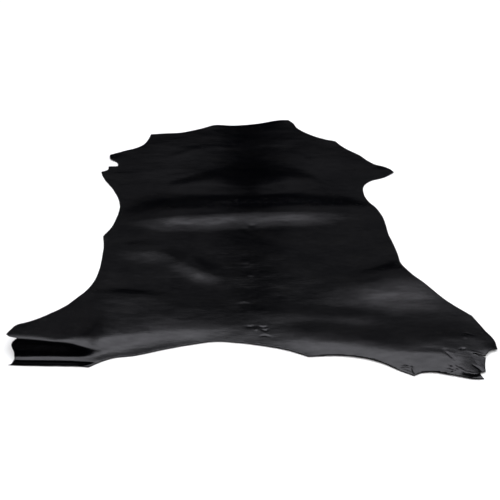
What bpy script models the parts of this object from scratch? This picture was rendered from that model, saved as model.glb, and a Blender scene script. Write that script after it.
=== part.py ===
"""A whole black leather hide, laid out grain side up on a flat surface.

The hide is one piece of leather of even thickness. Its cut edge follows the animal: neck at +Y, hind legs
at -Y, fore legs and belly at the sides. It lies flat over most of its area, rises in low rolls where it was
folded for storage, and stands up in a sharp fold along the left hind shank.

Lengths in the tables are millimetres. X runs across the hide, Y along the backbone towards the neck, Z up.
The origin is on the surface that the hide lies on, under the middle of its length and width.
"""

import math
from collections import namedtuple

import bmesh
import bpy
from mathutils import Vector
from mathutils.geometry import delaunay_2d_cdt

MM = 0.001

LENGTH = 1357.0
WIDTH = 1098.0
THICKNESS = 1.8

# How far apart the mesh points stand along the cut edge, over the field and on the sharp fold; how far the
# sharp fold's points reach from the cut edge; and how clear of the edge the inner points stay, as a share of
# their step. A stretch of the edge shorter than SHORT_STRETCH keeps a point for each of its own.
EDGE_STEP = 13.0
FIELD_STEP = 26.0
FOLD_STEP = 9.0
FOLD_REACH = 80.0
EDGE_CLEARANCE = 0.42
SHORT_STRETCH = 60.0
NORMAL_STEP = 2.0
SAME_PLACE = 0.0001
SHARP_ANGLE = math.radians(40)

LEATHER_COLOUR = (0.011, 0.011, 0.012, 1.0)
LEATHER_ROUGHNESS = 0.42

# The cut edge, anticlockwise as seen from above. Each stretch is one smooth curve from corner to corner,
# through its points (x, y), and ends where the next one starts.
Stretch = namedtuple("Stretch", "name points")
EDGE = (
    Stretch("left shoulder", ((-370, 554), (-377, 499), (-387, 466), (-406, 442), (-445, 417), (-491, 385))),
    Stretch("fore leg, upper lobe", ((-491, 385), (-486, 354), (-455, 323), (-450, 300))),
    Stretch("fore leg, notch", ((-450, 300), (-480, 296))),
    Stretch("fore leg, lower lobe", ((-480, 296), (-479, 275), (-498, 260))),
    Stretch("fore leg, nick", ((-498, 260), (-494, 246), (-474, 201))),
    Stretch("left flank", ((-474, 201), (-433, 131), (-400, 36), (-398, -14), (-406, -84), (-419, -132))),
    Stretch(
        "left thigh",
        (
            (-419, -132),
            (-411, -167),
            (-405, -219),
            (-401, -287),
            (-404, -340),
            (-415, -382),
            (-429, -413),
            (-447, -451),
            (-475, -487),
            (-509, -520),
            (-541, -542),
            (-545, -558),
            (-549, -574),
        ),
    ),
    Stretch("left shank, flap end", ((-549, -574), (-542, -580), (-521, -586))),
    Stretch(
        "left shank, cut end",
        ((-521, -586), (-532, -597), (-525, -609), (-523, -617), (-521, -627), (-524, -631), (-533, -635)),
    ),
    Stretch("left shank, near edge", ((-533, -635), (-520, -636), (-450, -638), (-375, -640), (-356, -642))),
    Stretch(
        "rump",
        (
            (-356, -642),
            (-336, -628),
            (-313, -616),
            (-260, -606),
            (-202, -588),
            (-143, -572),
            (-83, -561),
            (-34, -565),
            (27, -576),
            (81, -591),
            (123, -610),
        ),
    ),
    Stretch("right groin", ((123, -610), (189, -607), (239, -614), (277, -627), (318, -653), (345, -668))),
    Stretch(
        "right shank, near edge",
        ((345, -668), (359, -661), (382, -658), (431, -668), (479, -678), (492, -677)),
    ),
    Stretch("right shank, corner", ((492, -677), (487, -663), (501, -657))),
    Stretch("right shank, cut end", ((501, -657), (506, -634), (513, -616))),
    Stretch("right shank, slit", ((513, -616), (489, -604), (513, -612))),
    Stretch("right shank, flap end", ((513, -612), (519, -604), (531, -594), (547, -590))),
    Stretch("right hock", ((547, -590), (549, -560), (538, -521), (524, -471))),
    Stretch(
        "right thigh",
        (
            (524, -471),
            (475, -412),
            (438, -357),
            (410, -317),
            (394, -264),
            (394, -219),
            (387, -124),
            (384, -11),
            (375, 24),
            (359, 62),
            (350, 112),
            (358, 166),
            (383, 197),
            (427, 219),
            (470, 254),
        ),
    ),
    Stretch(
        "right shoulder",
        ((470, 254), (438, 300), (420, 310), (397, 338), (377, 376), (331, 436), (302, 487)),
    ),
    Stretch("right cheek", ((302, 487), (252, 519), (210, 556), (170, 612), (156, 656), (141, 677))),
    Stretch(
        "neck",
        (
            (141, 677),
            (104, 678),
            (20, 649),
            (-62, 632),
            (-148, 628),
            (-166, 617),
            (-205, 596),
            (-260, 570),
            (-310, 563),
            (-370, 554),
        ),
    ),
)

# Rolls that lift the leather off the surface. Each station gives x, the crest's y, its height, and how far the
# roll runs out towards the hind legs (near) and towards the neck (far).
Roll = namedtuple("Roll", "name stations")
ROLLS = (
    Roll(
        "back",
        (
            (-360, 30, 0, 220, 150),
            (-240, 10, 5, 320, 240),
            (-120, 0, 7.5, 400, 310),
            (0, 0, 8, 420, 330),
            (120, 0, 7.5, 400, 310),
            (220, 15, 5, 320, 240),
            (330, 45, 0, 220, 120),
        ),
    ),
    Roll(
        "loin",
        (
            (-410, -25, 0, 80, 100),
            (-320, -31, 7, 88, 150),
            (-240, -30, 11, 92, 150),
            (-120, -27, 12.5, 96, 145),
            (-20, -16, 12, 98, 140),
            (40, -14, 12, 98, 135),
            (130, -10, 12.5, 98, 130),
            (200, -4, 10.5, 98, 120),
            (260, 6, 7.5, 96, 110),
            (330, 16, 4, 90, 80),
            (400, 28, 0, 80, 60),
        ),
    ),
    Roll(
        "withers",
        (
            (-270, 160, 0, 60, 60),
            (-200, 166, 4, 70, 110),
            (-120, 168, 6.5, 75, 150),
            (-40, 158, 5.5, 80, 190),
            (20, 158, 5.5, 80, 200),
            (80, 174, 5.5, 80, 170),
            (130, 190, 5.5, 75, 140),
            (175, 195, 3, 70, 90),
            (225, 190, 0, 60, 60),
        ),
    ),
    Roll(
        "left belly",
        (
            (-400, -190, 0, 60, 60),
            (-320, -196, 4, 70, 70),
            (-250, -202, 5, 75, 85),
            (-190, -246, 4, 75, 100),
            (-140, -290, 4.5, 65, 90),
            (-70, -318, 0, 45, 60),
        ),
    ),
    Roll(
        "left thigh",
        (
            (-420, -399, 0, 60, 50),
            (-330, -404, 6, 150, 55),
            (-240, -418, 6, 150, 60),
            (-150, -440, 3, 90, 80),
            (-60, -450, 0, 80, 60),
        ),
    ),
    Roll(
        "right thigh",
        (
            (150, -350, 0, 120, 80),
            (240, -356, 4.5, 130, 85),
            (300, -345, 8.5, 130, 100),
            (370, -322, 11, 150, 110),
            (430, -320, 10, 150, 110),
            (500, -334, 4, 120, 80),
            (560, -350, 0, 80, 50),
        ),
    ),
    Roll(
        "croup",
        (
            (-20, -455, 0, 50, 40),
            (60, -460, 2, 50, 40),
            (150, -468, 2.5, 50, 40),
            (260, -476, 2, 50, 40),
            (340, -480, 0, 50, 40),
        ),
    ),
    Roll(
        "rump",
        (
            (-300, -520, 0, 70, 100),
            (-200, -510, 2, 80, 120),
            (-60, -505, 3.5, 100, 180),
            (40, -520, 3.5, 90, 160),
            (120, -545, 5, 80, 120),
            (220, -568, 6, 75, 110),
            (330, -590, 8, 90, 120),
            (430, -592, 9.5, 105, 140),
            (510, -578, 4.5, 110, 110),
            (600, -575, 0, 100, 110),
        ),
    ),
    Roll(
        "left hock",
        (
            (-440, -586, 0, 40, 120),
            (-385, -566, 4, 45, 130),
            (-330, -545, 7, 64, 140),
            (-280, -536, 5.5, 66, 130),
            (-210, -524, 3.2, 58, 110),
            (-130, -516, 1.8, 50, 90),
            (-40, -510, 0, 40, 70),
        ),
    ),
)

# How a roll's or a rise's side bends: the shares of its run over which it eases at the crest and at the foot.
TOP_EASE = 0.3
FOOT_EASE = 0.5

# The sharp fold along the left hind shank: a low riser and a ledge at the cut edge, then a steep face. Behind
# the face the leather rises a little more to its crest and comes down: SHANK_BACKS gives its height as a share
# of the crest's at each distance. At each station's x: the near edge's y, the riser's height, how far in the
# ledge reaches, the face's height and run, and what the distances behind the face are multiplied by.
RISER_RUN = 9.0
LEDGE_SLOPE = 0.11
Back = namedtuple("Back", "distance share")
SHANK_BACKS = (
    Back(0, 1),
    Back(4, 1.008),
    Back(18, 0.98),
    Back(44, 0.87),
    Back(90, 0.67),
    Back(150, 0.45),
    Back(210, 0.26),
    Back(270, 0.11),
    Back(320, 0.03),
    Back(370, 0),
    Back(400, 0),
)
Station = namedtuple("Station", "x edge_y riser ledge face run back")
SHANK_STATIONS = (
    Station(-570, -634, 7.5, 12, 26, 40, 1.0),
    Station(-500, -637, 7.5, 13, 26, 39, 1.0),
    Station(-430, -639, 8, 15, 21, 32.5, 0.95),
    Station(-394, -640, 8, 15, 16.7, 30, 0.85),
    Station(-370, -640, 6.5, 16, 11, 29, 0.7),
    Station(-342, -632, 1, 20, 3, 26, 0.55),
    Station(-310, -615, 0, 22, 0, 24, 0.45),
)

# Low lifts where the cut edge stands off the surface.
Lift = namedtuple("Lift", "name x y spread_x spread_y height")
LIFTS = (
    Lift("fore leg, right", 455, 268, 70, 45, 4),
    Lift("fore leg, left", -485, 336, 60, 80, 4),
    Lift("neck corner", 140, 686, 90, 60, 3),
    Lift("neck, left", -160, 636, 110, 45, 3),
    Lift("shoulder corner", 308, 500, 60, 50, 4),
    Lift("belly corner", -420, -124, 40, 60, 3),
    Lift("right flank", 400, -164, 45, 90, 3),
    Lift("right shank end", 530, -594, 45, 45, 2),
)


def slopes(knots, values):
    """Returns the slope of a smooth curve at each knot, from the chords on either side of it."""
    chords = [(b - a) / (u - t) for t, u, a, b in zip(knots, knots[1:], values, values[1:])]
    inner = [
        (before * (u - t) + after * (t - s)) / (u - s)
        for before, after, s, t, u in zip(chords, chords[1:], knots, knots[1:], knots[2:])
    ]
    return [chords[0]] + inner + [chords[-1]]


def smooth_value(knots, values, at):
    """Reads a smooth curve through (knots, values), held level beyond its ends."""
    if at <= knots[0]:
        return values[0]
    if at >= knots[-1]:
        return values[-1]
    rates = slopes(knots, values)
    i = max(k for k, knot in enumerate(knots[:-1]) if knot <= at)
    span = knots[i + 1] - knots[i]
    t = (at - knots[i]) / span
    return (
        (2 * t**3 - 3 * t**2 + 1) * values[i]
        + (t**3 - 2 * t**2 + t) * span * rates[i]
        + (3 * t**2 - 2 * t**3) * values[i + 1]
        + (t**3 - t**2) * span * rates[i + 1]
    )


def stretch_points(points):
    """Spaces points evenly along one smooth stretch of the edge, without its last point."""
    knots = [0.0]
    for a, b in zip(points, points[1:]):
        knots.append(knots[-1] + math.dist(a, b))
    count = max(1, round(knots[-1] / EDGE_STEP))
    count = max(count, len(points) - 1) if knots[-1] < SHORT_STRETCH else count
    columns = list(zip(*points))
    places = [knots[-1] * i / count for i in range(count)]
    return [tuple(smooth_value(knots, column, place) for column in columns) for place in places]


def outline():
    """Returns the whole cut edge as one loop of (x, y)."""
    return [point for stretch in EDGE for point in stretch_points(stretch.points)]


def clamp(value, low, high):
    """Holds a value between two limits."""
    return max(low, min(value, high))


def hump(share):
    """The shape of a hump's side: 1 at its crest, 0 from a share of 1 on, straight between its two eased ends."""
    place = clamp(share, 0.0, 1.0)
    top = min(place, TOP_EASE) ** 2 / (2 * TOP_EASE)
    middle = clamp(place - TOP_EASE, 0.0, 1 - TOP_EASE - FOOT_EASE)
    foot = clamp(place - 1 + FOOT_EASE, 0.0, FOOT_EASE)
    fallen = top + middle + foot - foot**2 / (2 * FOOT_EASE)
    return 1 - fallen / (1 - (TOP_EASE + FOOT_EASE) / 2)


def roll_height(roll, x, y):
    """Height that one roll adds at (x, y)."""
    knots = [station[0] for station in roll.stations]
    if not knots[0] < x < knots[-1]:
        return 0.0
    crest, peak, near, far = (smooth_value(knots, column, x) for column in list(zip(*roll.stations))[1:])
    ahead = y - crest
    return max(0.0, peak) * hump(abs(ahead) / (far if ahead > 0 else near))


def shank_height(x, y):
    """Height that the sharp fold of the left shank adds at (x, y)."""
    places, *columns = zip(*SHANK_STATIONS)
    edge, riser, ledge, face, run, back = (smooth_value(places, column, x) for column in columns)
    inset = y - edge
    low = max(0.0, riser)
    risen = low * hump(1 - inset / RISER_RUN)
    risen += LEDGE_SLOPE * clamp(inset - RISER_RUN, 0.0, ledge - RISER_RUN) * low / SHANK_STATIONS[0].riser
    risen += max(0.0, face) * hump(1 - (inset - ledge) / run)
    behind = (inset - ledge - run) / back
    distances, shares = zip(*SHANK_BACKS)
    return risen * (smooth_value(distances, shares, behind) if behind > 0 else 1.0)


def lift_height(lift, x, y):
    """Height that one lift of the edge adds at (x, y)."""
    share = math.hypot((x - lift.x) / lift.spread_x, (y - lift.y) / lift.spread_y)
    return lift.height * hump(share)


def height(x, y):
    """Height of the underside above the surface at (x, y)."""
    lifted = sum(roll_height(roll, x, y) for roll in ROLLS)
    lifted += sum(lift_height(lift, x, y) for lift in LIFTS)
    return lifted + shank_height(x, y)


def normal(x, y):
    """Upward normal of the underside at (x, y)."""
    across = (height(x + NORMAL_STEP, y) - height(x - NORMAL_STEP, y)) / (2 * NORMAL_STEP)
    along = (height(x, y + NORMAL_STEP) - height(x, y - NORMAL_STEP)) / (2 * NORMAL_STEP)
    return Vector((-across, -along, 1.0)).normalized()


def inside(point, loop):
    """Tells whether a point is within the loop, by counting the edges to its right."""
    x, y = point
    crossed = False
    for (ax, ay), (bx, by) in zip(loop, loop[1:] + loop[:1]):
        if (ay > y) != (by > y) and x < ax + (bx - ax) * (y - ay) / (by - ay):
            crossed = not crossed
    return crossed


def near_fold(point):
    """Tells whether a point is on the sharp fold of the left shank, where the points stand closer."""
    x, y = point
    return x < SHANK_STATIONS[-1].x and y < SHANK_STATIONS[0].edge_y + FOLD_REACH


def lattice(step, wanted):
    """Returns staggered rows of (x, y), step apart, where wanted(point) holds."""
    row_step = step * math.sqrt(3) / 2
    rows = int(LENGTH / row_step) + 2
    columns = int(WIDTH / step) + 2
    found = []
    for row in range(-rows // 2, rows // 2 + 1):
        shift = step / 2 if row % 2 else 0.0
        for column in range(-columns // 2, columns // 2 + 1):
            point = (column * step + shift, row * row_step)
            if wanted(point):
                found.append(point)
    return found


def field_points(loop):
    """Returns the points within the edge, clear of it and denser on the sharp fold."""

    def usable(point, step):
        clear = min(math.dist(point, other) for other in loop) > step * EDGE_CLEARANCE
        return clear and inside(point, loop)

    wide = lattice(FIELD_STEP, lambda p: not near_fold(p) and usable(p, FIELD_STEP))
    fine = lattice(FOLD_STEP, lambda p: near_fold(p) and usable(p, FOLD_STEP))
    return wide + fine


def hide_mesh():
    """Builds the closed sheet: underside, grain side above it, and the cut edge between them."""
    loop = outline()
    flat = [Vector(point) for point in loop + field_points(loop)]
    rim = [(i, (i + 1) % len(loop)) for i in range(len(loop))]
    flat, _, triangles, _, _, _ = delaunay_2d_cdt(flat, rim, [], 1, SAME_PLACE)

    shape = bmesh.new()
    under, grain = [], []
    for x, y in flat:
        foot = Vector((x, y, height(x, y)))
        under.append(shape.verts.new(foot * MM))
        grain.append(shape.verts.new((foot + normal(x, y) * THICKNESS) * MM))
    for a, b, c in triangles:
        turn = (flat[b] - flat[a]).cross(flat[c] - flat[a])
        a, b, c = (a, b, c) if turn > 0 else (a, c, b)
        shape.faces.new((grain[a], grain[b], grain[c]))
        shape.faces.new((under[a], under[c], under[b]))
    top_corners = {
        frozenset((grain[i], grain[j])): (i, j)
        for triangle in triangles
        for i, j in zip(triangle, triangle[1:] + triangle[:1])
    }
    cut = [edge for edge in shape.edges if edge.is_boundary and frozenset(edge.verts) in top_corners]
    for edge in cut:
        i, j = top_corners[frozenset(edge.verts)]
        shape.faces.new((grain[i], grain[j], under[j], under[i]))
    bmesh.ops.recalc_face_normals(shape, faces=shape.faces)
    bmesh.ops.triangulate(shape, faces=[face for face in shape.faces if len(face.verts) > 3])

    mesh = bpy.data.meshes.new("hide")
    shape.to_mesh(mesh)
    shape.free()
    return mesh


def leather():
    """Smooth black-dyed leather with a low sheen."""
    material = bpy.data.materials.new("black leather")
    material.use_nodes = True
    shader = material.node_tree.nodes["Principled BSDF"]
    shader.inputs["Base Color"].default_value = LEATHER_COLOUR
    shader.inputs["Roughness"].default_value = LEATHER_ROUGHNESS
    shader.inputs["Metallic"].default_value = 0.0
    return material


def build():
    """Clears the scene and makes the hide, its one object."""
    for obj in list(bpy.data.objects):
        bpy.data.objects.remove(obj)
    mesh = hide_mesh()
    mesh.materials.append(leather())
    mesh.shade_smooth()
    mesh.set_sharp_from_angle(angle=SHARP_ANGLE)
    hide = bpy.data.objects.new("hide", mesh)
    bpy.context.scene.collection.objects.link(hide)


build()
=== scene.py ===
"""A whole black leather hide laid out on a pale floor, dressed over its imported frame.

The hide is one sheet of leather of even thickness with its grain side up. X runs across the hide, Y along the
backbone towards the neck, Z up. Lengths in the tables are millimetres, in the frame's own axes and origin.
"""

import logging
import math
from dataclasses import dataclass, field
from enum import Enum

import bmesh
import bpy
import numpy as np
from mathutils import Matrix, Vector, noise
from mathutils.geometry import delaunay_2d_cdt
from mathutils.kdtree import KDTree


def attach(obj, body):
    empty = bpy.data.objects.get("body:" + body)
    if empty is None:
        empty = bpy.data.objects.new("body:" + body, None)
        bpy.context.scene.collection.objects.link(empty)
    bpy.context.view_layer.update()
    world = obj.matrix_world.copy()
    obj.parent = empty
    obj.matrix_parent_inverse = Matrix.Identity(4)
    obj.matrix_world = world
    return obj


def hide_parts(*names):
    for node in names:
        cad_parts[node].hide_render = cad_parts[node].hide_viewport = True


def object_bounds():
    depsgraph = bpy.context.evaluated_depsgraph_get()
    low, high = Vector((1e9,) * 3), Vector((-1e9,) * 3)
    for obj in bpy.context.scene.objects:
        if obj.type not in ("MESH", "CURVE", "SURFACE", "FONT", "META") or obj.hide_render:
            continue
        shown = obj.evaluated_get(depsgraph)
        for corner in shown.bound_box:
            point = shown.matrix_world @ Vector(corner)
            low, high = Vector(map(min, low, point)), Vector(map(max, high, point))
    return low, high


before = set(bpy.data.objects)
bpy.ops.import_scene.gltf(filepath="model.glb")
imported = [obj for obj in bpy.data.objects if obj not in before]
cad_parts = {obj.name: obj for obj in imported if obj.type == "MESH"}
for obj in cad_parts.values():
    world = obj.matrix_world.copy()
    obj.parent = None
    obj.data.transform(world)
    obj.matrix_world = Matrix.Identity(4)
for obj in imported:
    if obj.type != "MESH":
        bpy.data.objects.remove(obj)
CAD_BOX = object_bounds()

MM = 0.001
TOP_EASE = 0.3
FOOT_EASE = 0.5
LOG = logging.getLogger("hide")

Points = np.ndarray
Place = tuple[float, float]


class Side(Enum):
    """The three surfaces of a sheet of leather, each with its own finish."""

    GRAIN = 0
    FLESH = 1
    CUT = 2


@dataclass(frozen=True)
class SmoothCurve:
    """A smooth curve of one number along a line, given by its knots and their values."""

    knots: tuple[float, ...]
    values: tuple[float, ...]

    def slopes(self) -> Points:
        """Works out the curve's slope at each knot from the chords on either side.

        Returns:
            One slope for each knot.
        """
        knots = np.asarray(self.knots, float)
        values = np.asarray(self.values, float)
        chords = np.diff(values) / np.diff(knots)
        spans = np.diff(knots)
        inner = (chords[:-1] * spans[1:] + chords[1:] * spans[:-1]) / (spans[:-1] + spans[1:])
        return np.concatenate(([chords[0]], inner, [chords[-1]]))

    def at(self, places: Points) -> Points:
        """Reads the curve, which is held level beyond its ends.

        Args:
            places: Where to read it.

        Returns:
            The value at each place.
        """
        knots = np.asarray(self.knots, float)
        values = np.asarray(self.values, float)
        rates = self.slopes()
        held = np.clip(places, knots[0], knots[-1])
        i = np.clip(np.searchsorted(knots, held, side="right") - 1, 0, len(knots) - 2)
        span = knots[i + 1] - knots[i]
        t = (held - knots[i]) / span
        return (
            (2 * t**3 - 3 * t**2 + 1) * values[i]
            + (t**3 - 2 * t**2 + t) * span * rates[i]
            + (3 * t**2 - 2 * t**3) * values[i + 1]
            + (t**3 - t**2) * span * rates[i + 1]
        )


def hump(share: Points) -> Points:
    """Gives the shape of a hump's side, straight in its middle part and eased at the top and the foot.

    Args:
        share: The distance from the crest as a share of the hump's run.

    Returns:
        1 where the share is 0, and 0 from a share of 1 on.
    """
    t = np.clip(share, 0, 1)
    top = np.minimum(t, TOP_EASE) ** 2 / (2 * TOP_EASE)
    middle = np.clip(t - TOP_EASE, 0, 1 - TOP_EASE - FOOT_EASE)
    foot = np.clip(t - 1 + FOOT_EASE, 0, FOOT_EASE)
    fallen = top + middle + foot - foot**2 / (2 * FOOT_EASE)
    return 1 - fallen / (1 - (TOP_EASE + FOOT_EASE) / 2)


@dataclass(frozen=True)
class Stretch:
    """One smooth stretch of the cut edge, from corner to corner."""

    name: str
    points: tuple[Place, ...]

    def sample(self, step: float) -> Points:
        """Spaces points evenly along the stretch.

        Args:
            step: The distance between them.

        Returns:
            The points, without the last one, which starts the next stretch.
        """
        given = np.asarray(self.points, float)
        run = np.concatenate(([0.0], np.cumsum(np.hypot(*np.diff(given, axis=0).T))))
        count = max(2, round(run[-1] / step))
        places = run[-1] * np.arange(count) / count
        return np.column_stack([SmoothCurve(tuple(run), tuple(column)).at(places) for column in given.T])


CUT_EDGE = (
    Stretch("left shoulder", ((-370, 554), (-377, 499), (-387, 466), (-406, 442), (-445, 417), (-491, 385))),
    Stretch("fore leg, upper lobe", ((-491, 385), (-486, 354), (-455, 323), (-450, 300))),
    Stretch("fore leg, notch", ((-450, 300), (-480, 296))),
    Stretch("fore leg, lower lobe", ((-480, 296), (-479, 275), (-498, 260))),
    Stretch("fore leg, nick", ((-498, 260), (-494, 246), (-474, 201))),
    Stretch("left flank", ((-474, 201), (-433, 131), (-400, 36), (-398, -14), (-406, -84), (-419, -132))),
    Stretch(
        "left thigh",
        (
            (-419, -132),
            (-411, -167),
            (-405, -219),
            (-401, -287),
            (-404, -340),
            (-415, -382),
            (-429, -413),
            (-447, -451),
            (-475, -487),
            (-509, -520),
            (-541, -542),
            (-545, -558),
            (-549, -574),
        ),
    ),
    Stretch("left shank, flap end", ((-549, -574), (-542, -580), (-521, -586))),
    Stretch(
        "left shank, cut end",
        ((-521, -586), (-532, -597), (-525, -609), (-523, -617), (-521, -627), (-524, -631), (-533, -635)),
    ),
    Stretch("left shank, near edge", ((-533, -635), (-520, -636), (-450, -638), (-375, -640), (-356, -642))),
    Stretch(
        "rump",
        (
            (-356, -642),
            (-336, -628),
            (-313, -616),
            (-260, -606),
            (-202, -588),
            (-143, -572),
            (-83, -561),
            (-34, -565),
            (27, -576),
            (81, -591),
            (123, -610),
        ),
    ),
    Stretch("right groin", ((123, -610), (189, -607), (239, -614), (277, -627), (318, -653), (345, -668))),
    Stretch(
        "right shank, near edge",
        ((345, -668), (359, -661), (382, -658), (431, -668), (479, -678), (492, -677)),
    ),
    Stretch("right shank, corner", ((492, -677), (487, -663), (501, -657))),
    Stretch("right shank, cut end", ((501, -657), (506, -634), (513, -616))),
    Stretch("right shank, slit", ((513, -616), (489, -604), (513, -612))),
    Stretch("right shank, flap end", ((513, -612), (519, -604), (531, -594), (547, -590))),
    Stretch("right hock", ((547, -590), (549, -560), (538, -521), (524, -471))),
    Stretch(
        "right thigh",
        (
            (524, -471),
            (475, -412),
            (438, -357),
            (410, -317),
            (394, -264),
            (394, -219),
            (387, -124),
            (384, -11),
            (375, 24),
            (359, 62),
            (350, 112),
            (358, 166),
            (383, 197),
            (427, 219),
            (470, 254),
        ),
    ),
    Stretch(
        "right shoulder",
        ((470, 254), (438, 300), (420, 310), (397, 338), (377, 376), (331, 436), (302, 487)),
    ),
    Stretch("right cheek", ((302, 487), (252, 519), (210, 556), (170, 612), (156, 656), (141, 677))),
    Stretch(
        "neck",
        (
            (141, 677),
            (104, 678),
            (20, 649),
            (-62, 632),
            (-148, 628),
            (-166, 617),
            (-205, 596),
            (-260, 570),
            (-310, 563),
            (-370, 554),
        ),
    ),
)


@dataclass(frozen=True)
class Roll:
    """A roll that lifts the leather along a crest.

    Each station gives x, the crest's y, its height, and how far the roll runs out on the near side and on the
    far side.
    """

    name: str
    stations: tuple[tuple[float, float, float, float, float], ...]

    def height(self, x: Points, y: Points) -> Points:
        """Reads the roll's height at each point.

        Args:
            x: The points' places across the hide.
            y: Their places along it.

        Returns:
            The height of each above the surface.
        """
        knots, *columns = zip(*self.stations)
        crest, peak, near, far = (SmoothCurve(knots, column).at(x) for column in columns)
        peak = np.where((x > knots[0]) & (x < knots[-1]), np.maximum(peak, 0), 0)
        ahead = y - crest
        return peak * hump(np.abs(ahead) / np.where(ahead > 0, far, near))


ROLLS = (
    Roll(
        "back",
        (
            (-360, 30, 0, 220, 150),
            (-240, 10, 5, 320, 240),
            (-120, 0, 7.5, 400, 310),
            (0, 0, 8, 420, 330),
            (120, 0, 7.5, 400, 310),
            (220, 15, 5, 320, 240),
            (330, 45, 0, 220, 120),
        ),
    ),
    Roll(
        "loin",
        (
            (-410, -25, 0, 80, 100),
            (-320, -31, 7, 88, 150),
            (-240, -30, 11, 92, 150),
            (-120, -27, 12.5, 96, 145),
            (-20, -16, 12, 98, 140),
            (40, -14, 12, 98, 135),
            (130, -10, 12.5, 98, 130),
            (200, -4, 10.5, 98, 120),
            (260, 6, 7.5, 96, 110),
            (330, 16, 4, 90, 80),
            (400, 28, 0, 80, 60),
        ),
    ),
    Roll(
        "withers",
        (
            (-270, 160, 0, 60, 60),
            (-200, 166, 4, 70, 110),
            (-120, 168, 6.5, 75, 150),
            (-40, 158, 5.5, 80, 190),
            (20, 158, 5.5, 80, 200),
            (80, 174, 5.5, 80, 170),
            (130, 190, 5.5, 75, 140),
            (175, 195, 3, 70, 90),
            (225, 190, 0, 60, 60),
        ),
    ),
    Roll(
        "left belly",
        (
            (-400, -190, 0, 60, 60),
            (-320, -196, 4, 70, 70),
            (-250, -202, 5, 75, 85),
            (-190, -246, 4, 75, 100),
            (-140, -290, 4.5, 65, 90),
            (-70, -318, 0, 45, 60),
        ),
    ),
    Roll(
        "left thigh",
        (
            (-420, -399, 0, 60, 50),
            (-330, -404, 6, 150, 55),
            (-240, -418, 6, 150, 60),
            (-150, -440, 3, 90, 80),
            (-60, -450, 0, 80, 60),
        ),
    ),
    Roll(
        "right thigh",
        (
            (150, -350, 0, 120, 80),
            (240, -356, 4.5, 130, 85),
            (300, -345, 8.5, 130, 100),
            (370, -322, 11, 150, 110),
            (430, -320, 10, 150, 110),
            (500, -334, 4, 120, 80),
            (560, -350, 0, 80, 50),
        ),
    ),
    Roll(
        "croup",
        (
            (-20, -455, 0, 50, 40),
            (60, -460, 2, 50, 40),
            (150, -468, 2.5, 50, 40),
            (260, -476, 2, 50, 40),
            (340, -480, 0, 50, 40),
        ),
    ),
    Roll(
        "rump",
        (
            (-300, -520, 0, 70, 100),
            (-200, -510, 2, 80, 120),
            (-60, -505, 3.5, 100, 180),
            (40, -520, 3.5, 90, 160),
            (120, -545, 5, 80, 120),
            (220, -568, 6, 75, 110),
            (330, -590, 8, 90, 120),
            (430, -592, 9.5, 105, 140),
            (510, -578, 4.5, 110, 110),
            (600, -575, 0, 100, 110),
        ),
    ),
    Roll(
        "left hock",
        (
            (-440, -586, 0, 40, 120),
            (-385, -566, 4, 45, 130),
            (-330, -545, 7, 64, 140),
            (-280, -536, 5.5, 66, 130),
            (-210, -524, 3.2, 58, 110),
            (-130, -516, 1.8, 50, 90),
            (-40, -510, 0, 40, 70),
        ),
    ),
)


@dataclass(frozen=True)
class ShankFold:
    """The sharp fold along the left hind shank: a low riser and a ledge at its cut edge, then a steep face.

    Backs give the height behind the face as a share of the crest's at each distance from it. Stations give x,
    the near edge's y, the riser's height, how far in the ledge reaches, the face's height and run, and what the
    distances behind the face are multiplied by.
    """

    riser_run: float
    ledge_slope: float
    backs: tuple[tuple[float, float], ...]
    stations: tuple[tuple[float, float, float, float, float, float, float], ...]

    def height(self, x: Points, y: Points) -> Points:
        """Reads the fold's height at each point.

        Args:
            x: The points' places across the hide.
            y: Their places along it.

        Returns:
            The height of each above the surface.
        """
        gaps, shares = zip(*self.backs)
        places, *columns = zip(*self.stations)
        edge, riser, ledge, face, run, back = (SmoothCurve(places, column).at(x) for column in columns)
        inset = y - edge
        low = np.maximum(riser, 0)
        high = np.maximum(face, 0)
        rise = low * hump(1 - inset / self.riser_run)
        ledge_run = np.clip(inset - self.riser_run, 0, ledge - self.riser_run)
        rise += self.ledge_slope * ledge_run * low / self.stations[0][2]
        rise += high * hump(1 - (inset - ledge) / run)
        behind = (inset - ledge - run) / back
        return rise * np.where(behind > 0, SmoothCurve(gaps, shares).at(behind), 1)


SHANK_FOLD = ShankFold(
    riser_run=9,
    ledge_slope=0.11,
    backs=(
        (0, 1),
        (4, 1.008),
        (18, 0.98),
        (44, 0.87),
        (90, 0.67),
        (150, 0.45),
        (210, 0.26),
        (270, 0.11),
        (320, 0.03),
        (370, 0),
        (400, 0),
    ),
    stations=(
        (-570, -634, 7.5, 12, 26, 40, 1.0),
        (-500, -637, 7.5, 13, 26, 39, 1.0),
        (-430, -639, 8, 15, 21, 32.5, 0.95),
        (-394, -640, 8, 15, 16.7, 30, 0.85),
        (-370, -640, 6.5, 16, 11, 29, 0.7),
        (-342, -632, 1, 20, 3, 26, 0.55),
        (-310, -615, 0, 22, 0, 24, 0.45),
    ),
)


@dataclass(frozen=True)
class Lift:
    """A low rise where the cut edge stands off the surface."""

    name: str
    x: float
    y: float
    spread_x: float
    spread_y: float
    rise: float

    def height(self, x: Points, y: Points) -> Points:
        """The height of the lift at each point (x, y)."""
        return self.rise * hump(np.hypot((x - self.x) / self.spread_x, (y - self.y) / self.spread_y))


LIFTS = (
    Lift("fore leg, right", 455, 268, 70, 45, 4),
    Lift("fore leg, left", -485, 336, 60, 80, 4),
    Lift("neck corner", 140, 686, 90, 60, 3),
    Lift("neck, left", -160, 636, 110, 45, 3),
    Lift("shoulder corner", 308, 500, 60, 50, 4),
    Lift("belly corner", -420, -124, 40, 60, 3),
    Lift("right flank", 400, -164, 45, 90, 3),
    Lift("right shank end", 530, -594, 45, 45, 2),
)


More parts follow.
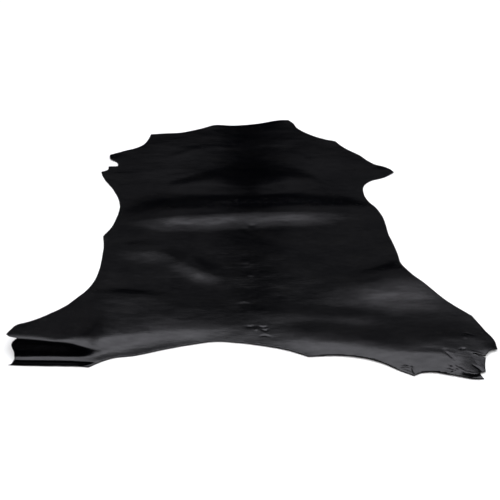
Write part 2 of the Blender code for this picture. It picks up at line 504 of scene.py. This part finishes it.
@dataclass(frozen=True)
class Crease:
    """A small ridge or, with a depth below zero, a groove along a line of points, fading out at its ends.

    Its side towards the neck is far_share times as wide as its side towards the hind legs.
    """

    name: str
    path: tuple[Place, ...]
    width: float
    depth: float
    far_share: float = 1.0
    fade_power: float = 0.6
    end_share: float = 0.06

    def height(self, x: Points, y: Points) -> Points:
        """Reads how far the crease stands up or sinks in at each point.

        Args:
            x: The points' places across the hide.
            y: Their places along it.

        Returns:
            The height added at each point.
        """
        nearest = np.full(x.shape, np.inf)
        along = np.zeros(x.shape)
        ahead = np.zeros(x.shape)
        run = 0.0
        for (ax, ay), (bx, by) in zip(self.path, self.path[1:]):
            length = math.hypot(bx - ax, by - ay)
            t = np.clip(((x - ax) * (bx - ax) + (y - ay) * (by - ay)) / length**2, 0, 1)
            gap = np.hypot(x - ax - t * (bx - ax), y - ay - t * (by - ay))
            closer = gap < nearest
            nearest = np.where(closer, gap, nearest)
            ahead = np.where(closer, y - ay - t * (by - ay), ahead)
            along = np.where(closer, run + t * length, along)
            run += length
        fade = np.sin(np.pi * np.clip(along / run, self.end_share, 1 - self.end_share)) ** self.fade_power
        width = self.width * np.where(ahead > 0, self.far_share, 1.0)
        return self.depth * fade * np.exp(-((nearest / width) ** 2))


CREASES = (
    Crease("spine bump, loin", ((-12, -82), (0, -85), (12, -83)), 4.5, -0.5),
    Crease("spine bump, back", ((-30, -200), (-12, -201)), 4.0, 0.3),
    Crease("spine bump, middle", ((-24, -258), (-8, -258)), 4.0, 0.3),
    Crease("spine bump, rump", ((-10, -312), (4, -312)), 4.0, 0.5),
    Crease("spine bump, croup", ((-36, -424), (-20, -418), (-4, -424)), 4.5, 0.8),
    Crease("tail root, dip", ((-16, -513), (-4, -514), (6, -512)), 4.0, -0.8),
    Crease("tail root, knob", ((4, -523), (14, -524)), 4.0, 0.6),
    Crease("tail root, pit", ((14, -512), (24, -516), (34, -514)), 2.8, -1.1),
    Crease("tail root, second pit", ((20, -522), (30, -528), (36, -524)), 2.8, -1.1),
    Crease("tail root, near pit", ((18, -546), (28, -543), (38, -547)), 2.8, -0.9),
    Crease("backbone, rump", ((2, -300), (6, -360), (-2, -400)), 5.0, 0.12),
    Crease("right shank, pinch", ((460, -595), (474, -591)), 2.4, -1.2),
    Crease("right shank, pucker", ((487, -548), (482, -558)), 3.0, 0.7),
    Crease("right shank, pucker dip", ((478, -544), (492, -536), (506, -546)), 3.4, -0.8),
    Crease("right shank, slit lip", ((478, -598), (498, -603), (511, -609)), 3.0, 0.45),
    Crease("right shank, long dip", ((360, -594), (408, -594), (446, -600)), 4.5, -0.7),
    Crease("right shank, slant", ((420, -598), (431, -610), (440, -625)), 3.4, -0.8),
    Crease("right shank, shelf", ((400, -566), (440, -556), (490, -548), (540, -556)), 16.0, 1.0),
    Crease("right shank, far dip", ((350, -520), (430, -505), (500, -490)), 22.0, -1.0),
    Crease("right shank, spot", ((424, -645), (434, -647)), 3.0, -1.1),
    Crease("right shank, crumple", ((412, -640), (426, -650), (440, -655)), 2.8, -1.0),
    Crease("right shank, crumple tip", ((436, -644), (446, -652), (456, -664)), 2.8, 1.0),
    Crease("right shank, curl back", ((438, -657), (466, -664), (494, -660)), 9.0, 3.4, 3.6),
    Crease("right shank, curl lip", ((458, -662), (472, -667), (488, -664)), 2.4, 0.9),
    Crease("right shank, curl end", ((478, -640), (490, -650), (494, -662)), 3.0, -1.2),
    Crease("groin flap, top", ((318, -643), (331, -641), (344, -645)), 2.2, -0.8),
    Crease("groin flap, side", ((345, -644), (346, -653), (347, -664)), 2.2, -1.8),
    Crease("groin flap, lap", ((324, -652), (334, -656), (342, -662)), 2.2, 0.6),
    Crease("left shank, streak", ((-490, -473), (-482, -479), (-474, -485)), 4.0, 1.2),
    Crease("left shank, dot", ((-483, -511), (-475, -517)), 3.6, 1.4),
    Crease("left shank, heel", ((-538, -553), (-528, -560), (-520, -570)), 5.0, -1.0),
    Crease("neck edge, left", ((-172, 630), (-156, 637), (-138, 640)), 6.0, 1.2),
    Crease("neck edge, right", ((246, 508), (264, 516), (284, 520)), 6.0, 1.2),
    Crease("shoulder blade, right", ((104, 400), (150, 385), (188, 340), (200, 276), (186, 226)), 24.0, 0.9),
    Crease("shoulder blade, left", ((-300, 290), (-262, 372), (-190, 424), (-104, 440)), 24.0, 0.9),
    Crease("shoulder, left", ((-300, 210), (-240, 232), (-180, 262)), 20.0, 0.9),
    Crease("neck fold, right", ((0, 458), (50, 472), (104, 458)), 18.0, 1.0),
    Crease("neck fold, left", ((-170, 452), (-104, 444), (-40, 440)), 16.0, 0.8),
    Crease("neck fold, top", ((-40, 560), (20, 574), (90, 584)), 24.0, 0.8),
)


@dataclass(frozen=True)
class Undulation:
    """The slow unevenness of leather that never lies quite flat."""

    height: float = 0.55
    wave_x: float = 130.0
    wave_y: float = 60.0
    layers: int = 3

    def at(self, x: Points, y: Points) -> Points:
        """Reads the unevenness at each point.

        Args:
            x: The points' places across the hide.
            y: Their places along it.

        Returns:
            The height added at each point, never below zero.
        """
        rise = [
            noise.fractal(Vector((a / self.wave_x, b / self.wave_y, 3.7)), 1.0, 2.0, self.layers)
            for a, b in zip(x, y)
        ]
        return self.height * np.clip(np.asarray(rise) + 0.5, 0, None)


@dataclass
class Relief:
    """The whole lying shape of the hide as a height above the surface."""

    rolls: tuple[Roll, ...] = ROLLS
    fold: ShankFold = SHANK_FOLD
    lifts: tuple[Lift, ...] = LIFTS
    creases: tuple[Crease, ...] = CREASES
    unevenness: Undulation = Undulation()
    probe: float = 1.0

    def main_height(self, x: Points, y: Points) -> Points:
        """The height of the folds, rolls and lifts at each point (x, y)."""
        return sum(part.height(x, y) for part in (*self.rolls, *self.lifts, self.fold))

    def height(self, x: Points, y: Points) -> Points:
        """The height of the underside at each point (x, y), creases and unevenness included."""
        fine = sum(crease.height(x, y) for crease in self.creases)
        return np.maximum(self.main_height(x, y) + fine + self.unevenness.at(x, y), 0)

    def normal(self, x: Points, y: Points) -> Points:
        """Works out which way the sheet faces.

        Args:
            x: The points' places across the hide.
            y: Their places along it.

        Returns:
            One unit vector for each point, pointing up out of the grain side.
        """
        d = self.probe
        across = (self.height(x + d, y) - self.height(x - d, y)) / (2 * d)
        along = (self.height(x, y + d) - self.height(x, y - d)) / (2 * d)
        normals = np.column_stack([-across, -along, np.ones(x.shape)])
        return normals / np.linalg.norm(normals, axis=1)[:, None]


@dataclass(frozen=True)
class FineZone:
    """A box of the sheet, low and high corner, where the mesh is finer."""

    name: str
    low: Place
    high: Place
    step: float

    def holds(self, points: Points) -> Points:
        """Tells which points are in the zone."""
        return np.all((points > self.low) & (points < self.high), axis=1)


FINE_ZONES = (
    FineZone("left shank", (-560, -650), (-255, -455), 4.0),
    FineZone("left shank fold", (-560, -650), (-330, -560), 2.2),
    FineZone("right shank", (425, -690), (560, -530), 2.4),
    FineZone("tail root", (-30, -556), (50, -500), 2.4),
    FineZone("loin bump", (-34, -100), (36, -68), 4.0),
    FineZone("back bumps", (-46, -268), (8, -188), 4.0),
    FineZone("rump bump", (-28, -326), (22, -298), 4.0),
    FineZone("croup bump", (-52, -440), (14, -402), 4.0),
    FineZone("groin flap", (312, -675), (362, -636), 2.4),
    FineZone("left fore leg", (-505, 230), (-430, 395), 4.0),
)


@dataclass
class HideSheet:
    """The sheet of leather: grain side, flesh side and the cut edge between them."""

    thickness: float = 1.8
    wide_step: float = 7.0
    edge_step: float = 4.0
    edge_band: float = 16.0
    clearance: float = 0.45
    edge_round: float = 0.55
    edge_wobble: float = 0.5
    edge_wave: float = 22.0
    flat_size: tuple[float, float] = (1.10, 1.37)
    flat_area: float = 1.03
    relief: Relief = field(default_factory=Relief)
    stretches: tuple[Stretch, ...] = CUT_EDGE

    def loop(self) -> Points:
        """Samples the cut edge once round, with the slight wobble of a knife cut.

        Returns:
            The edge's points, anticlockwise from above.
        """
        smooth = np.vstack([stretch.sample(self.edge_step) for stretch in self.stretches])
        wobble = [noise.noise(Vector((x / self.edge_wave, y / self.edge_wave, 0.0))) for x, y in smooth]
        return smooth + self.outward(smooth) * (self.edge_wobble * np.asarray(wobble))[:, None]

    def outward(self, loop: Points) -> Points:
        """Finds the direction out of the sheet at each point of its edge.

        Args:
            loop: The edge's points.

        Returns:
            One unit vector for each.
        """
        along = np.roll(loop, -1, axis=0) - np.roll(loop, 1, axis=0)
        along /= np.linalg.norm(along, axis=1)[:, None]
        return np.column_stack([along[:, 1], -along[:, 0]])

    def lattice(self, step: float) -> Points:
        """Lays staggered rows of points over the whole hide.

        Args:
            step: The distance between neighbours.

        Returns:
            The points.
        """
        low, high = (np.asarray(corner[:2]) / MM for corner in CAD_BOX)
        row_step = step * math.sqrt(3) / 2
        rows = np.arange(math.floor(low[1] / row_step), math.ceil(high[1] / row_step) + 1)
        columns = np.arange(math.floor(low[0] / step), math.ceil(high[0] / step) + 1)
        column, row = np.meshgrid(columns, rows)
        return np.column_stack([(column + (row % 2) / 2).ravel() * step, row.ravel() * row_step])

    def inside(self, points: Points, loop: Points) -> Points:
        """Tells which points are within the edge, by counting the crossings to the right of each.

        Args:
            points: The points to test.
            loop: The edge's points.

        Returns:
            One flag for each point.
        """
        within = np.zeros(len(points), bool)
        x, y = points.T
        for (ax, ay), (bx, by) in zip(loop, np.roll(loop, -1, axis=0)):
            spans = (ay > y) != (by > y)
            if spans.any():
                within[spans] ^= x[spans] < ax + (bx - ax) * (y[spans] - ay) / (by - ay)
        return within

    def field(self, loop: Points) -> Points:
        """Chooses the points within the edge: close together on details and by the edge, wider elsewhere.

        Args:
            loop: The edge's points.

        Returns:
            The points.
        """
        tree = KDTree(len(loop))
        for i, (x, y) in enumerate(loop):
            tree.insert((x, y, 0), i)
        tree.balance()
        chosen = []
        steps = sorted({zone.step for zone in FINE_ZONES} | {self.wide_step, self.edge_step})
        for step in steps:
            points = self.lattice(step)
            points = points[self.inside(points, loop)]
            gaps = np.array([tree.find((x, y, 0))[2] for x, y in points])
            wanted = np.full(len(points), self.wide_step)
            wanted[gaps < self.edge_band] = self.edge_step
            for zone in FINE_ZONES:
                wanted = np.where(zone.holds(points), np.minimum(wanted, zone.step), wanted)
            chosen.append(points[(gaps > step * self.clearance) & (wanted == step)])
        return np.vstack(chosen)

    def mesh(self) -> bpy.types.Mesh:
        """Builds the closed sheet with its edge rounded between the grain side and the flesh side.

        Returns:
            The mesh, its faces sorted by side into material slots.
        """
        loop = self.loop()
        count = len(loop)
        inner = loop - self.outward(loop) * self.edge_round
        flat = [Vector(point) for point in np.vstack([inner, self.field(inner)])]
        rim = [(i, (i + 1) % count) for i in range(count)]
        flat, _, triangles, _, _, _ = delaunay_2d_cdt(flat, rim, [], 1, 1e-4)
        place = np.array([tuple(point) for point in flat])
        corners = np.array(triangles)
        a, b, c = (place[corners[:, i]] for i in range(3))
        turned = np.cross(b - a, c - a) < 0
        corners[turned] = corners[turned][:, ::-1]

        foot = self.risen(place, 0.0)
        top = self.risen(place, self.thickness)
        shoulders = [
            self.risen(loop, self.edge_round),
            self.risen(loop, self.thickness - self.edge_round),
        ]
        size = len(place)
        vertices = np.vstack([foot, top, *shoulders]) * MM
        rings = [np.arange(count), 2 * size + np.arange(count), 2 * size + count + np.arange(count)]
        rings.append(size + np.arange(count))
        faces = [tuple(face) for face in corners[:, ::-1]] + [tuple(face) for face in corners + size]
        sides = [Side.FLESH.value] * len(corners) + [Side.GRAIN.value] * len(corners)
        for lower, upper in zip(rings, rings[1:]):
            ahead = np.roll(np.arange(count), -1)
            faces += list(zip(lower, lower[ahead], upper[ahead], upper))
            sides += [Side.CUT.value] * count

        mesh = bpy.data.meshes.new("hide sheet")
        mesh.from_pydata([tuple(v) for v in vertices], [], [tuple(int(i) for i in f) for f in faces])
        mesh.polygons.foreach_set("material_index", sides)
        mesh.shade_smooth()
        return mesh

    def risen(self, place: Points, above: float) -> Points:
        """Lifts flat places onto the lying shape.

        Args:
            place: The flat points.
            above: How far above the underside, through the leather.

        Returns:
            The points in space.
        """
        x, y = place.T
        foot = np.column_stack([x, y, self.relief.height(x, y)])
        return foot + self.relief.normal(x, y) * above

    def build(self) -> bpy.types.Object:
        """Returns:
            The finished piece.
        """
        sheet = bpy.data.objects.new("hide_sheet", self.mesh())
        bpy.context.scene.collection.objects.link(sheet)
        for finish in (GrainFinish(), FleshFinish(), CutFinish()):
            sheet.data.materials.append(finish.material())
        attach(sheet, "root")
        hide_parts("hide")
        LOG.info("sheet: %d triangles", sum(len(p.vertices) - 2 for p in sheet.data.polygons))
        return sheet


class Shade:
    """A value or colour in a material, with arithmetic that adds the nodes for it."""

    def __init__(self, kit: "ShaderKit", socket: bpy.types.NodeSocket) -> None:
        self.kit = kit
        self.socket = socket

    def _math(self, operation: str, *values: "Shade | float") -> "Shade":
        """Adds one Math node on these values."""
        return self.kit.node("ShaderNodeMath", {"operation": operation}, dict(enumerate(values)))

    def __add__(self, other: "Shade | float") -> "Shade":
        """Adds."""
        return self._math("ADD", self, other)

    __radd__ = __add__

    def __sub__(self, other: "Shade | float") -> "Shade":
        """Subtracts."""
        return self._math("SUBTRACT", self, other)

    def __rsub__(self, other: float) -> "Shade":
        """Subtracts this from a number."""
        return self._math("SUBTRACT", other, self)

    def __mul__(self, other: "Shade | float") -> "Shade":
        """Multiplies."""
        return self._math("MULTIPLY", self, other)

    __rmul__ = __mul__

    def size(self) -> "Shade":
        """Takes the value without its sign."""
        return self._math("ABSOLUTE", self)

    def held(self, low: float, high: float) -> "Shade":
        """Holds the value between two limits."""
        return self._math("MAXIMUM", self._math("MINIMUM", self, high), low)

    def step(self, start: float, end: float) -> "Shade":
        """Turns the value into a smooth step from 0 at start to 1 at end."""
        return self.kit.node(
            "ShaderNodeMapRange",
            {"interpolation_type": "SMOOTHSTEP"},
            {"Value": self, "From Min": start, "From Max": end},
            "Result",
        )


class ShaderKit:
    """A material and its node tree."""

    def __init__(self, name: str) -> None:
        """Starts a material with one Principled BSDF."""
        self.material = bpy.data.materials.new(name)
        self.material.use_nodes = True
        self.tree = self.material.node_tree
        self.shader = self.tree.nodes["Principled BSDF"]

    def node(
        self,
        kind: str,
        settings: dict[str, object] | None = None,
        inputs: "dict[str | int, Shade | float | tuple] | None" = None,
        output: str | int = 0,
    ) -> Shade:
        """Adds a node.

        Args:
            kind: The node's type.
            settings: Its own settings, which are set first.
            inputs: Values or links by socket.
            output: Which of its outputs to give back.

        Returns:
            That output.
        """
        made = self.tree.nodes.new(kind)
        for name, value in (settings or {}).items():
            setattr(made, name, value)
        for name, value in (inputs or {}).items():
            if isinstance(value, Shade):
                self.tree.links.new(value.socket, made.inputs[name])
            else:
                made.inputs[name].default_value = value
        return Shade(self, made.outputs[output])

    def place(self, scale: tuple[float, float, float]) -> Shade:
        """Gives object coordinates multiplied by a scale, in repeats per metre."""
        where = self.node("ShaderNodeTexCoord", output="Object")
        return self.node("ShaderNodeVectorMath", {"operation": "MULTIPLY"}, {0: where, 1: scale})

    def place_axis(self, axis: str) -> Shade:
        """Gives one object coordinate, in metres."""
        where = self.node("ShaderNodeTexCoord", output="Object")
        return self.node("ShaderNodeSeparateXYZ", {}, {"Vector": where}, axis)

    def cloud(self, scale: tuple[float, float, float], detail: float = 2.0, roughness: float = 0.5) -> Shade:
        """Adds soft noise with its own scale along each axis, in repeats per metre."""
        return self.node(
            "ShaderNodeTexNoise",
            {},
            {"Vector": self.place(scale), "Scale": 1.0, "Detail": detail, "Roughness": roughness},
            "Fac",
        )

    def blend(self, share: Shade, first: tuple, second: tuple) -> Shade:
        """Mixes two colours by a share from 0 to 1."""
        return self.node(
            "ShaderNodeMix", {"data_type": "RGBA"}, {"Factor": share, 6: (*first, 1.0), 7: (*second, 1.0)}, 2
        )

    def bump(self, height: Shade, distance: float, strength: float, after: Shade | None = None) -> Shade:
        """Adds a bump, on top of another where one is given."""
        inputs: dict = {"Height": height, "Distance": distance, "Strength": strength}
        if after:
            inputs["Normal"] = after
        return self.node("ShaderNodeBump", {}, inputs)

    def feed(self, links: dict[str, Shade], constants: dict[str, object]) -> bpy.types.Material:
        """Connects what varies to the shader and sets what doesn't.

        Args:
            links: What varies over the surface, by the shader's socket.
            constants: What is the same all over.

        Returns:
            The material.
        """
        for name, value in links.items():
            self.tree.links.new(value.socket, self.shader.inputs[name])
        for name, value in constants.items():
            self.shader.inputs[name].default_value = value
        return self.material


@dataclass(frozen=True)
class Burnish:
    """A soft oval patch of the grain that shines more or, with a shine below zero, less than the rest."""

    name: str
    x: float
    y: float
    reach_x: float
    reach_y: float
    shine: float

    def share(self, kit: ShaderKit) -> Shade:
        """Gives the patch's shine at each place, fading out to its border."""
        across = (kit.place_axis("X") - self.x * MM) * (1 / (self.reach_x * MM))
        along = (kit.place_axis("Y") - self.y * MM) * (1 / (self.reach_y * MM))
        return (across * across + along * along).step(1.0, 0.0) * self.shine


BURNISHES = (
    Burnish("neck, left", -95, 448, 150, 45, 0.55),
    Burnish("neck, right", 62, 474, 100, 40, 0.65),
    Burnish("shoulder, left", -270, 395, 110, 120, 0.35),
    Burnish("shoulder foot, left", -275, 235, 120, 60, 0.35),
    Burnish("shoulder, right", 225, 320, 120, 150, 0.25),
    Burnish("withers, left", -175, 150, 150, 50, 0.45),
    Burnish("withers, right", 90, 170, 90, 50, 0.35),
    Burnish("between the shoulders", 20, 300, 190, 110, -0.35),
    Burnish("left flank", -330, 0, 110, 140, -0.35),
    Burnish("belly", -218, -232, 55, 50, -0.6),
)


@dataclass(frozen=True)
class GrainFinish:
    """Smooth black grain with a low sheen under an uneven waxy film."""

    dark: tuple[float, float, float] = (0.0003, 0.0006, 0.0017)
    worn: tuple[float, float, float] = (0.0021, 0.0020, 0.0023)
    sheen_rough: float = 0.215
    rough_spread: float = 0.09
    spine_polish: float = 0.055
    spine_x: float = 0.008
    spine_reach: float = 0.12
    spine_front: tuple[float, float] = (0.36, 0.22)
    spine_rear: tuple[float, float] = (-0.52, -0.4)
    pebble: float = 900.0
    pebble_depth: float = 0.00003
    streak_rough: float = 0.05
    streak_depth: float = 0.0010
    mottle_depth: float = 0.0008
    film: float = 0.42
    film_streaks: float = 1.1
    film_patches: float = 0.9
    patches: tuple[Burnish, ...] = BURNISHES
    cloud_scale: tuple[float, float, float] = (9.0, 16.0, 9.0)
    mottle_scale: tuple[float, float, float] = (13.0, 26.0, 13.0)
    streak_scale: tuple[float, float, float] = (38.0, 110.0, 38.0)
    pore_scale: tuple[float, float, float] = (700.0, 700.0, 700.0)
    pore_share: float = 0.5
    pebble_softness: float = 0.6
    pebble_strength: float = 0.5
    streak_strength: float = 0.25
    worn_range: tuple[float, float] = (0.35, 0.75)
    refraction: float = 1.5

    def material(self) -> bpy.types.Material:
        """Builds the grain side's material."""
        kit = ShaderKit("black grain leather")
        cloud = kit.cloud(self.cloud_scale, 4.0)
        mottle = kit.cloud(self.mottle_scale, 3.0)
        streak = kit.cloud(self.streak_scale, 3.0, 0.6)
        pebble = kit.node(
            "ShaderNodeTexVoronoi",
            {"feature": "SMOOTH_F1"},
            {"Vector": kit.place((1, 1, 1)), "Scale": self.pebble, "Smoothness": self.pebble_softness},
            "Distance",
        )
        film = self.film + (streak - 0.5) * self.film_streaks + (cloud - 0.5) * self.film_patches
        for patch in self.patches:
            film = film + patch.share(kit)
        pores = kit.cloud(self.pore_scale) * self.pore_share
        fine = kit.bump(pebble + pores, self.pebble_depth, self.pebble_strength)
        streaked = kit.bump(streak, self.streak_depth, self.streak_strength, fine)
        across, along = kit.place_axis("X"), kit.place_axis("Y")
        spine = (across - self.spine_x).size().step(self.spine_reach, 0.0)
        spine = spine * along.step(*self.spine_front) * along.step(*self.spine_rear)
        rough = self.sheen_rough + (cloud - 0.5) * self.rough_spread + (streak - 0.5) * self.streak_rough
        rough = rough - spine * self.spine_polish
        return kit.feed(
            {
                "Base Color": kit.blend(cloud.step(*self.worn_range), self.dark, self.worn),
                "Roughness": rough,
                "Coat Weight": film.held(0.0, 1.0),
                "Normal": kit.bump(mottle, self.mottle_depth, 1.0, streaked),
            },
            {"IOR": self.refraction, "Coat IOR": self.refraction, "Coat Roughness": self.sheen_rough},
        )


@dataclass(frozen=True)
class FleshFinish:
    """The napped underside, dyed through."""

    deep: tuple[float, float, float] = (0.016, 0.015, 0.015)
    nap: tuple[float, float, float] = (0.034, 0.032, 0.031)
    nap_scale: tuple[float, float, float] = (420.0, 420.0, 420.0)
    nap_depth: float = 0.0006
    patch_scale: tuple[float, float, float] = (11.0, 11.0, 11.0)
    patch_share: float = 0.4

    def material(self) -> bpy.types.Material:
        """Builds the flesh side's material."""
        kit = ShaderKit("black flesh side")
        nap = kit.cloud(self.nap_scale, 4.0, 0.65)
        patches = kit.cloud(self.patch_scale, 3.0)
        shade = nap * (1 - self.patch_share) + patches * self.patch_share
        return kit.feed(
            {
                "Base Color": kit.blend(shade.step(0.3, 0.7), self.deep, self.nap),
                "Roughness": 0.9 + (nap - 0.5) * 0.1,
                "Normal": kit.bump(nap, self.nap_depth, 0.7),
            },
            {"Sheen Weight": 0.15},
        )


@dataclass(frozen=True)
class CutFinish:
    """The raw cut edge, a little paler and fibrous."""

    dyed: tuple[float, float, float] = (0.010, 0.010, 0.011)
    fibre: tuple[float, float, float] = (0.040, 0.033, 0.028)
    fibre_scale: tuple[float, float, float] = (500.0, 500.0, 1600.0)
    fibre_depth: float = 0.0005

    def material(self) -> bpy.types.Material:
        """Builds the cut edge's material."""
        kit = ShaderKit("raw cut edge")
        fibre = kit.cloud(self.fibre_scale, 3.0, 0.6)
        return kit.feed(
            {
                "Base Color": kit.blend(fibre.step(0.35, 0.7), self.dyed, self.fibre),
                "Roughness": 0.8 + (fibre - 0.5) * 0.2,
                "Normal": kit.bump(fibre, self.fibre_depth, 0.6),
            },
            {"IOR": 1.45},
        )


@dataclass(frozen=True)
class Panel:
    """A soft rectangular light that faces the hide."""

    name: str
    azimuth: float
    elevation: float
    distance: float
    width: float
    height: float
    glow: float
    tint: tuple[float, float, float] = (0.99, 0.985, 1.065)

    def build(self, aim: Vector) -> None:
        """Places the light towards a compass direction from the hide, at a height angle.

        Args:
            aim: The point it faces.
        """
        light = bpy.data.lights.new(self.name, "AREA")
        light.shape = "RECTANGLE"
        light.size = self.width
        light.size_y = self.height
        light.energy = self.glow * math.pi * self.width * self.height
        light.color = self.tint
        lamp = bpy.data.objects.new(self.name, light)
        turn, rise = math.radians(self.azimuth), math.radians(self.elevation)
        way = Vector((math.sin(turn) * math.cos(rise), math.cos(turn) * math.cos(rise), math.sin(rise)))
        lamp.location = aim + way * self.distance
        lamp.rotation_euler = way.to_track_quat("Z", "Y").to_euler()
        bpy.context.scene.collection.objects.link(lamp)


@dataclass
class Studio:
    """A pale floor, soft lights and the camera."""

    eye: tuple[float, float, float] = (-0.0059, -1.6603, 1.0141)
    tilt_down: float = 34.643
    view_angle: float = 42.0
    floor_size: float = 24.0
    floor_colour: tuple[float, float, float] = (0.93, 0.93, 0.93)
    floor_light: float = 3.2
    floor_light_spread: float = 100.0
    room: tuple[float, float, float] = (0.002, 0.0024, 0.0036)
    backdrop_radius: float = 11.5
    backdrop_colour: tuple[float, float, float] = (0.9, 0.9, 0.9)
    panels: tuple[Panel, ...] = (
        Panel("overhead panel", 0, 74, 2.6, 4.2, 1.2, 1.5),
        Panel("lower panel", 0, 55.5, 3.0, 5.0, 1.0, 0.24),
        Panel("far panel, left", -21.2, 31, 5.0, 2.85, 1.4, 0.072),
        Panel("far panel, right", 21.2, 31, 5.0, 2.85, 1.4, 0.072),
        Panel("left panel", -90, 32, 5.0, 6.0, 1.6, 0.07),
        Panel("right panel", 90, 32, 5.0, 6.0, 1.6, 0.07),
        Panel("near panel", 180, 28, 5.0, 9.0, 1.2, 0.08),
    )

    def floor(self) -> bpy.types.Object:
        """Lays the pale floor under the hide, and gives it back."""
        half = self.floor_size / 2
        mesh = bpy.data.meshes.new("floor")
        corners = [(-half, -half, 0), (half, -half, 0), (half, half, 0), (-half, half, 0)]
        mesh.from_pydata(corners, [], [(0, 1, 2, 3)])
        kit = ShaderKit("pale floor")
        grey = kit.cloud((0.6, 0.6, 0.6), 1.0)
        dimmer = tuple(0.99 * shade for shade in self.floor_colour)
        kit.feed({"Base Color": kit.blend(grey, self.floor_colour, dimmer)}, {"Roughness": 0.9})
        mesh.materials.append(kit.material)
        floor = bpy.data.objects.new("floor", mesh)
        floor.location.z = -0.0003
        bpy.context.scene.collection.objects.link(floor)
        return floor

    def backdrop(self) -> None:
        """Closes the view above the floor with a pale dome that the hide does not mirror."""
        dome = bmesh.new()
        bmesh.ops.create_uvsphere(dome, u_segments=48, v_segments=24, radius=self.backdrop_radius)
        mesh = bpy.data.meshes.new("backdrop")
        dome.to_mesh(mesh)
        dome.free()
        kit = ShaderKit("pale backdrop")
        kit.feed({}, {
            "Base Color": (0.0, 0.0, 0.0, 1.0),
            "Specular IOR Level": 0.0,
            "Emission Color": (*self.backdrop_colour, 1.0),
            "Emission Strength": 1.0,
        })
        mesh.materials.append(kit.material)
        wall = bpy.data.objects.new("backdrop", mesh)
        wall.visible_diffuse = False
        wall.visible_glossy = False
        wall.visible_shadow = False
        bpy.context.scene.collection.objects.link(wall)

    def lights(self, floor: bpy.types.Object) -> None:
        """Hangs the panels, and the broad light that keeps the floor pale.

        Args:
            floor: What the broad light falls on.
        """
        for panel in self.panels:
            panel.build(Vector((0, 0, 0)))
        sun = bpy.data.lights.new("floor light", "SUN")
        sun.energy = self.floor_light
        sun.angle = math.radians(self.floor_light_spread)
        lamp = bpy.data.objects.new("floor light", sun)
        bpy.context.scene.collection.objects.link(lamp)
        lit = bpy.data.collections.new("lit by the floor light")
        lit.objects.link(floor)
        lamp.light_linking.receiver_collection = lit
        world = bpy.data.worlds.new("studio")
        world.use_nodes = True
        world.node_tree.nodes["Background"].inputs["Color"].default_value = (*self.room, 1.0)
        bpy.context.scene.world = world

    def camera(self) -> None:
        """Sets the camera at the photograph's height and angle."""
        lens = bpy.data.cameras.new("camera")
        lens.sensor_fit = "AUTO"
        lens.angle = math.radians(self.view_angle)
        lens.clip_end = 100.0
        camera = bpy.data.objects.new("camera", lens)
        camera.location = self.eye
        camera.rotation_euler = (math.radians(90 - self.tilt_down), 0, 0)
        bpy.context.scene.collection.objects.link(camera)
        bpy.context.scene.camera = camera

    def build(self) -> None:
        """Sets up floor, backdrop, lights and camera."""
        self.lights(self.floor())
        self.backdrop()
        self.camera()
        bpy.context.scene.view_settings.view_transform = "Standard"


def main() -> None:
    """Builds the studio and the hide."""
    logging.basicConfig(level=logging.INFO, format="%(name)s: %(message)s")
    Studio().build()
    hide = HideSheet().build()
    LOG.info("built %s", hide.name)


if __name__ == "__main__":
    main()
